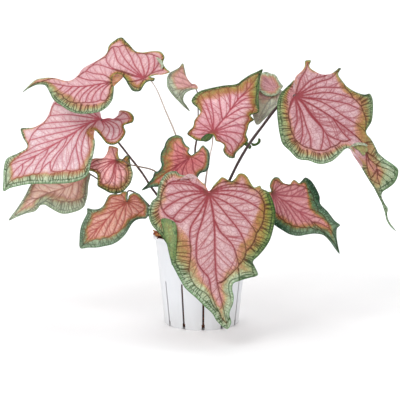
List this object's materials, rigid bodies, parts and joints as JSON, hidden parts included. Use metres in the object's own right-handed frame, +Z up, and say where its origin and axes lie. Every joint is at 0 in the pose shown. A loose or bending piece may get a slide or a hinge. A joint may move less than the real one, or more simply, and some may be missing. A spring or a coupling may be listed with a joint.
{
  "type": "potted caladium plant",
  "caption": "Caladium with pink red-veined heart-shaped leaves on thin dark stalks, in a white slotted nursery pot.",
  "frame": {"origin": "centre of the pot's underside, on the floor", "axes": "+Z up, -Y towards the viewer and the leaves' faces, +X to the viewer's right"},
  "size_m": [0.5236, 0.2857, 0.3835],
  "materials": {
    "pot": "moulded white polypropylene, satin, faintly cool",
    "bark": "coarse reddish-brown potting bark and coir, dry and rough",
    "corm": "brown papery tuber skin",
    "blade": "thin living leaf, pink ground with red veins, olive and green margin, satin",
    "stalk": "smooth dark red-brown leaf stalk, satin"
  },
  "bodies": {
    "root": {"pot": "pot", "bark": "bark", "corm": "corm", "leaf_high_left": "blade", "leaf_big_left": "blade", "leaf_low_left": "blade", "leaf_small_left": "blade", "leaf_bottom_left": "blade", "leaf_centre_red": "blade", "leaf_upright": "blade", "leaf_back_right": "blade", "leaf_big_right": "blade", "leaf_front": "blade", "leaf_low_right": "blade", "leaf_far_back": "blade", "stalk_high_left": "stalk", "stalk_big_left": "stalk", "stalk_low_left": "stalk", "stalk_small_left": "stalk", "stalk_bottom_left": "stalk", "stalk_centre_red": "stalk", "stalk_upright": "stalk", "stalk_back_right": "stalk", "stalk_big_right": "stalk", "stalk_front": "stalk", "stalk_low_right": "stalk", "stalk_far_back": "stalk"}
  },
  "joints": []
}
